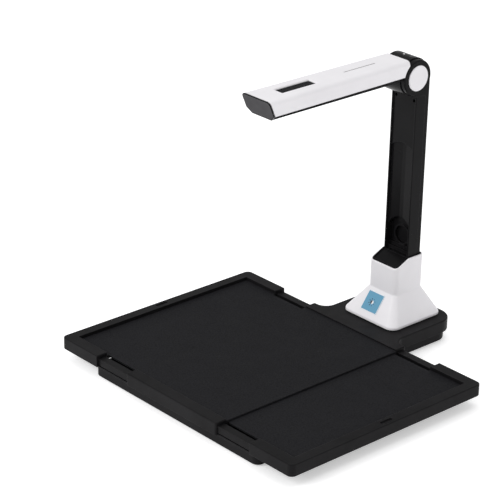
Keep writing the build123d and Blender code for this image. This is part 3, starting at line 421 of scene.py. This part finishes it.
for part in frame["record"]["subparts"]:
    mesh = frame["nodes"][part["node"]].data
    mesh.materials.clear()
    mesh.materials.append(LOOKS[part["material_slot"]])

# ---------------------------------------------------------------- mesh helpers
SMOOTH_ANGLE = math.radians(35)
SAME_PLACE = 0.001 * MM           # vertices this close are one
ROUND_COUNT = 28                  # vertices round a screw


def add_piece(name, bm, material, body):
    """Turns a bmesh into a piece that rides on a body; gives the piece back."""
    bmesh.ops.recalc_face_normals(bm, faces=bm.faces)
    mesh = bpy.data.meshes.new(name)
    bm.to_mesh(mesh)
    bm.free()
    mesh.shade_smooth()
    mesh.set_sharp_from_angle(angle=SMOOTH_ANGLE)
    mesh.materials.append(material)
    piece = bpy.data.objects.new(name, mesh)
    scene.collection.objects.link(piece)
    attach(piece, body)
    return piece


def solids_of(node):
    """(lowest, highest) corner of each separate solid of a CAD node."""
    bm = bmesh.new()
    bm.from_mesh(frame["nodes"][node].data)
    bmesh.ops.remove_doubles(bm, verts=bm.verts, dist=SAME_PLACE)
    unseen = set(bm.verts)
    boxes = []
    while unseen:
        front = [unseen.pop()]
        solid = []
        while front:
            vert = front.pop()
            solid.append(vert.co.copy())
            linked = {e.other_vert(vert) for e in vert.link_edges} & unseen
            unseen -= linked
            front.extend(linked)
        low = Vector([min(p[i] for p in solid) for i in range(3)])
        high = Vector([max(p[i] for p in solid) for i in range(3)])
        boxes.append((low, high))
    bm.free()
    return sorted(boxes, key=lambda box: tuple(box[0]))


def ring(bm, radius, height, count=ROUND_COUNT):
    """A level circle of vertices."""
    turns = [2 * math.pi * i / count for i in range(count)]
    return [bm.verts.new((radius * math.cos(t), radius * math.sin(t), height)) for t in turns]


def skin(bm, first, second):
    """Faces between two closed rows of vertices."""
    for i in range(len(first)):
        bm.faces.new((first[i - 1], first[i], second[i], second[i - 1]))


def lathe(bm, profile, count):
    """A turned ring from (radius, height) pairs, with the last pair joined to the first."""
    rows = [ring(bm, radius, height, count) for radius, height in profile]
    for first, second in zip(rows, rows[1:] + rows[:1]):
        skin(bm, first, second)


def cross_row(bm, reach, half, height):
    """The outline of a cross as twelve vertices."""
    points = []
    for quarter in range(4):
        turn = Matrix.Rotation(quarter * math.pi / 2, 2)
        points += [turn @ Vector(c) for c in ((reach, -half), (reach, half), (half, half))]
    return [bm.verts.new((p.x, p.y, height)) for p in points]


def loop_edges(bm, row):
    """The edges round a closed row, made where they are missing."""
    pairs = [(row[i - 1], row[i]) for i in range(len(row))]
    return [bm.edges.get(pair) or bm.edges.new(pair) for pair in pairs]


# Proportions of a screw: the first four to its head's radius, the next three to its shank's,
# and the depth of the cross to the head's height.
HEAD_EDGE = 0.14
CROSS_MOUTH = (0.62, 0.17)        # reach and half width
CROSS_FLOOR = (0.50, 0.13)
SHANK = 0.52
THREAD_ROOT = 0.84
TIP = 0.5
PITCH = 0.28
CROSS_DEPTH = 0.6


def add_screw(bm, place, out, radius, head_tall, length):
    """A screw with a cross recess and a thread; place is the middle of its head's face."""
    start = len(bm.verts)
    edge = HEAD_EDGE * radius
    top = ring(bm, radius - edge, 0)
    side = ring(bm, radius, -edge)
    under = ring(bm, radius, -head_tall)
    skin(bm, top, side)
    skin(bm, side, under)
    mouth = cross_row(bm, CROSS_MOUTH[0] * radius, CROSS_MOUTH[1] * radius, 0)
    floor = cross_row(bm, CROSS_FLOOR[0] * radius, CROSS_FLOOR[1] * radius, -CROSS_DEPTH * head_tall)
    rims = loop_edges(bm, top) + loop_edges(bm, mouth)
    bmesh.ops.triangle_fill(bm, use_beauty=True, edges=rims)
    skin(bm, mouth, floor)
    bm.faces.new(floor)
    # the shank: roots and crests by turns, then a blunt tip
    shank = SHANK * radius
    rows = [under, ring(bm, shank, -head_tall)]
    pitch = PITCH * radius
    height = -head_tall - pitch
    while height > pitch - length:
        rows.append(ring(bm, THREAD_ROOT * shank, height))
        rows.append(ring(bm, shank, height - pitch / 2))
        height -= pitch
    rows.append(ring(bm, TIP * shank, -length))
    for first, second in zip(rows, rows[1:]):
        skin(bm, first, second)
    bm.faces.new(rows[-1])
    turn = Vector(out).to_track_quat("Z", "Y").to_matrix().to_4x4()
    bm.verts.ensure_lookup_table()
    bmesh.ops.transform(bm, matrix=Matrix.Translation(place) @ turn, verts=bm.verts[start:])


def add_slab(bm, outline, thick, place):
    """A thin slab from a flat outline; place turns (across, up, out) into a world position."""
    backs = [bm.verts.new(place(x, y, 0.0)) for x, y in outline]
    fronts = [bm.verts.new(place(x, y, thick)) for x, y in outline]
    bm.faces.new(backs)
    bm.faces.new(fronts)
    skin(bm, backs, fronts)


def arc(centre, radius, first, last, count=12):
    """Points along an arc, by its first and last angle in degrees."""
    angles = [math.radians(first + (last - first) * i / count) for i in range(count + 1)]
    return [(centre[0] + radius * math.cos(a), centre[1] + radius * math.sin(a)) for a in angles]


CORNER_COUNT = 6                  # faces round a quarter or a bar's end
CIRCLE_COUNT = 24


def circle(centre, radius):
    """Points round a whole circle."""
    return arc(centre, radius, 0, 360 - 360 / CIRCLE_COUNT, CIRCLE_COUNT - 1)


def bar(first, last, across, half):
    """Outline of a level bar with round ends."""
    right_end = arc((last, across), half, -90, 90, CORNER_COUNT)
    left_end = arc((first, across), half, 90, 270, CORNER_COUNT)
    return right_end + left_end


def rounded_rectangle(width, height, radius):
    """Outline of a rectangle with rounded corners."""
    x, y = width / 2 - radius, height / 2 - radius
    outline = []
    for corner, start in (((x, y), 0), ((-x, y), 90), ((-x, -y), 180), ((x, -y), 270)):
        outline += arc(corner, radius, start, start + 90, CORNER_COUNT)
    return outline


def add_frame(bm, outside, inside, thick, place):
    """A flat frame between two outlines with the same number of points."""
    rows = []
    for outline, out in ((outside, 0.0), (outside, thick), (inside, thick), (inside, 0.0)):
        rows.append([bm.verts.new(place(x, y, out)) for x, y in outline])
    for i in range(4):
        skin(bm, rows[i - 1], rows[i])


# ---------------------------------------------------------------- screws
HEAD_TALL = 1.8 * MM
SMALL_HEAD_TALL = 1.5 * MM
LARGE_RADIUS = 2.5 * MM           # heads wider than this are the taller kind


def screws(name, node, material, body, out_of):
    """Detailed screws in place of a node's; out_of gives the way each one's head faces."""
    bm = bmesh.new()
    for low, high in solids_of(node):
        out = Vector(out_of(low, high))
        middle = (low + high) / 2
        size = high - low
        length = abs(size.dot(out))
        across = Vector([1 - abs(v) for v in out])
        radius = size.dot(across) / 4
        tall = HEAD_TALL if radius > LARGE_RADIUS else SMALL_HEAD_TALL
        add_screw(bm, middle + out * length / 2, out, radius, tall, length)
    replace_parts(add_piece(name, bm, material, body), node)


def faces_down(low, high):
    """Heads of screws that are driven in from below."""
    return (0, 0, -1)


def faces_front_if_high(low, high):
    """The post's two top screws face the reader, and its bottom ones face down."""
    return (0, -1, 0) if low.z > HINGE.z / 2 else (0, 0, -1)


screws("base_cross_screws", "base_screws", STEEL, "base", faces_down)
screws("foot_cross_screws", "foot_screws", STEEL, "base", faces_down)
screws("head_cross_screws", "head_screws", SCREW_BLACK, "head", faces_down)
screws("post_cross_screws", "column_screws", SCREW_BLACK, "base", faces_front_if_high)

# ---------------------------------------------------------------- label on the foot
SLOPE_RISE, SLOPE_RUN = 34.3, 25.7       # of the foot's front slope
LABEL_SLOPE = math.atan2(SLOPE_RISE, SLOPE_RUN)
LABEL_THICK = 0.4 * MM
LABEL_WIDTH, LABEL_HEIGHT = 29.5 * MM, 29.0 * MM
LABEL_EDGE = 0.05 * MM            # left free outside the border
BORDER = 0.9 * MM
BORDER_CORNERS = (0.75 * MM, 0.4 * MM)   # outside and inside
PRINT = 0.06 * MM                 # thickness of printed marks
LIFT = 0.01 * MM                  # between a mark and the surface under it
label_low, label_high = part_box("light_label")
LABEL_UP = Vector((0, math.cos(LABEL_SLOPE), math.sin(LABEL_SLOPE)))
LABEL_OUT = Vector((0, -math.sin(LABEL_SLOPE), math.cos(LABEL_SLOPE)))
LABEL_FACE = (label_low + label_high) / 2 + LABEL_OUT * LABEL_THICK / 2
ICON = Vector((-0.8, -0.6)) * MM         # middle of the icon, from the label's middle
CORE = 2.8 * MM
RAY_START, RAY_END = 3.8 * MM, 6.0 * MM
RAY_COUNT = 8
WIDE_RAY = 0.52 * MM              # half width of the rays beside the dark half
THIN_RAY = 0.28 * MM              # and beside the light half
DARK_START, LIGHT_START = 90, -90        # angles where the two halves of the disc start


def on_label(x, y, out):
    """World position of a point on the label's front."""
    return LABEL_FACE + Vector((x, 0, 0)) + LABEL_UP * y + LABEL_OUT * (out + LIFT)


def label_outline(inset, corner):
    """The label's outline, a little inside its edge."""
    return rounded_rectangle(LABEL_WIDTH - 2 * inset, LABEL_HEIGHT - 2 * inset, corner)


def label_border():
    """White printed edge of the label."""
    bm = bmesh.new()
    outside = label_outline(LABEL_EDGE, BORDER_CORNERS[0])
    inside = label_outline(BORDER, BORDER_CORNERS[1])
    add_frame(bm, outside, inside, PRINT, on_label)
    add_piece("label_border", bm, WHITE_INK, "base")


def add_half_disc(bm, first):
    """Half of the icon's disc; first is the angle where its arc starts."""
    add_slab(bm, arc(ICON, CORE, first, first + 180, CIRCLE_COUNT), PRINT, on_label)


def icon():
    """Brightness mark: a half dark disc with dark rays, the rays beside its light half thinner."""
    bm = bmesh.new()
    add_half_disc(bm, DARK_START)
    for step in range(RAY_COUNT):
        half = WIDE_RAY if step < RAY_COUNT / 2 else THIN_RAY
        angle = DARK_START + (step + 0.5) * 360 / RAY_COUNT
        turn = Matrix.Rotation(math.radians(angle), 2)
        ray = bar(RAY_START + half, RAY_END - half, 0, half)
        add_slab(bm, [ICON + turn @ Vector(point) for point in ray], PRINT, on_label)
    add_piece("label_icon_dark", bm, DARK_INK, "base")
    bm = bmesh.new()
    add_half_disc(bm, LIGHT_START)
    add_piece("label_icon_light", bm, WHITE_INK, "base")


label_border()
icon()

# ---------------------------------------------------------------- marks and a painted highlight on the hinge barrel


def on_barrel(x, y, out):
    """World position of a point on top of the barrel; y runs round it, towards the back."""
    radius = BARREL_RADIUS + LIFT + out
    turn = y / BARREL_RADIUS
    return Vector((x, HINGE.y + radius * math.sin(turn), HINGE.z + radius * math.cos(turn)))


MARKS_AND_HIGHLIGHT_ROUND = 0.5 * MM             # how far round the barrel the lamp mark and the painted highlight ring lie
# The ring is a painted highlight: the far cheek's rim catching light, drawn as grey on the black barrel.
HIGHLIGHT_RING_X = -17.2 * MM
HIGHLIGHT_RING_RADII = (2.1 * MM, 1.5 * MM)
LAMP_X = -5.3 * MM
LAMP_RADIUS = 1.5 * MM
BARS_X = (6.0 * MM, 9.0 * MM)     # middles of a bar's round ends
BARS_ROUND = (-0.5 * MM, 1.5 * MM)
BAR_HALF = 0.45 * MM


def hub_marks_and_painted_highlight():
    """Two generic touch marks, a bright lamp and a faint pair of bars, and a faint grey ring that is a painted
    highlight of the far cheek's rim.
    """
    bm = bmesh.new()
    # painted highlight: a faint grey ring where the far cheek's rim catches light
    outside, inside = [circle((HIGHLIGHT_RING_X, MARKS_AND_HIGHLIGHT_ROUND), radius) for radius in HIGHLIGHT_RING_RADII]
    add_frame(bm, outside, inside, PRINT, on_barrel)
    add_piece("hub_painted_highlight_ring", bm, GREY_INK_AND_HIGHLIGHT, "base")
    bm = bmesh.new()
    add_slab(bm, circle((LAMP_X, MARKS_AND_HIGHLIGHT_ROUND), LAMP_RADIUS), PRINT, on_barrel)
    add_piece("hub_mark_lamp", bm, WHITE_INK, "head")
    bm = bmesh.new()
    for y in BARS_ROUND:
        add_slab(bm, bar(*BARS_X, y, BAR_HALF), PRINT, on_barrel)
    add_piece("hub_mark_bars", bm, GREY_INK_AND_HIGHLIGHT, "head")


hub_marks_and_painted_highlight()

# ---------------------------------------------------------------- lens


BAFFLE_OUTSIDE, BAFFLE_INSIDE = 6.85 * MM, 4.7 * MM
BAFFLE_STEP = 0.28 * MM           # from one ridge to the next
RIDGE_TALL = 0.10 * MM
BAFFLE_HALF = 0.02 * MM           # half the thickness between the ridges
BAFFLE_GAP = 0.03 * MM            # to the end of the lens barrel
BAFFLE_COUNT = 56                 # faces round


def lens_rings():
    """Fine stepped baffle in front of the lens barrel."""
    low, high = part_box("lens_barrel")
    middle = (low + high) / 2
    bm = bmesh.new()
    profile = [(BAFFLE_OUTSIDE, 0.0)]
    radius = BAFFLE_OUTSIDE
    while radius - BAFFLE_STEP > BAFFLE_INSIDE:
        profile.append((radius - BAFFLE_STEP / 2, RIDGE_TALL))
        profile.append((radius - BAFFLE_STEP, BAFFLE_HALF))
        radius -= BAFFLE_STEP
    profile += [(BAFFLE_INSIDE, BAFFLE_HALF), (BAFFLE_INSIDE, -BAFFLE_HALF), (BAFFLE_OUTSIDE, -BAFFLE_HALF)]
    lathe(bm, profile, BAFFLE_COUNT)
    place = Matrix.Translation((middle.x, middle.y, low.z - BAFFLE_GAP))
    bmesh.ops.transform(bm, matrix=place @ Matrix.Rotation(math.pi, 4, "X"), verts=bm.verts)
    add_piece("lens_rings", bm, BLACK_RAIL, "head")


lens_rings()

# ---------------------------------------------------------------- studio
FLOOR_GLOW = 0.42
FLOOR_HALF = 30.0
WORLD_LIGHT = 0.60
LAMPS = (                         # name, place, aim, size and power
    ("key", (-0.7, -2.2, 1.5), (0, 0, 0.2), 1.4, 34),
    ("fill", (2.2, -0.4, 1.2), (0, 0, 0.2), 1.4, 1),
    ("top", (0.2, 0.6, 2.6), (0, 0, 0), 1.8, 16),
)


def add_floor():
    """Pale plain floor, far wider than any view of the object, lit a little from within."""
    n = Nodes("floor_look")
    n.set(Specular_IOR_Level=0.1, Emission_Color=(1.0, 1.0, 1.0, 1.0), Emission_Strength=FLOOR_GLOW)
    color = n.blend(n.noise(0.9), (0.93, 0.93, 0.935), (0.95, 0.95, 0.955))
    n.finish(color, n.spread(n.noise(0.05), 0.6, 0.75))
    mesh = bpy.data.meshes.new("floor")
    signs = ((-1, -1), (1, -1), (1, 1), (-1, 1))
    mesh.from_pydata([(x * FLOOR_HALF, y * FLOOR_HALF, 0) for x, y in signs], [], [(0, 1, 2, 3)])
    mesh.materials.append(n.material)
    floor = bpy.data.objects.new("floor", mesh)
    scene.collection.objects.link(floor)


def add_area_light(name, place, aim, size, power):
    """A square soft box that points at a spot."""
    data = bpy.data.lights.new(name, "AREA")
    data.size = size
    data.energy = power
    light = bpy.data.objects.new(name, data)
    scene.collection.objects.link(light)
    light.matrix_world = looking(Vector(place), Vector(aim) - Vector(place))


def add_studio():
    """White surround and three soft boxes."""
    world = bpy.data.worlds.new("studio")
    world.use_nodes = True
    background = world.node_tree.nodes["Background"]
    background.inputs["Color"].default_value = (1.0, 1.0, 1.0, 1)
    background.inputs["Strength"].default_value = WORLD_LIGHT
    scene.world = world
    for lamp in LAMPS:
        add_area_light(*lamp)
    scene.view_settings.view_transform = "Standard"


add_floor()
add_studio()
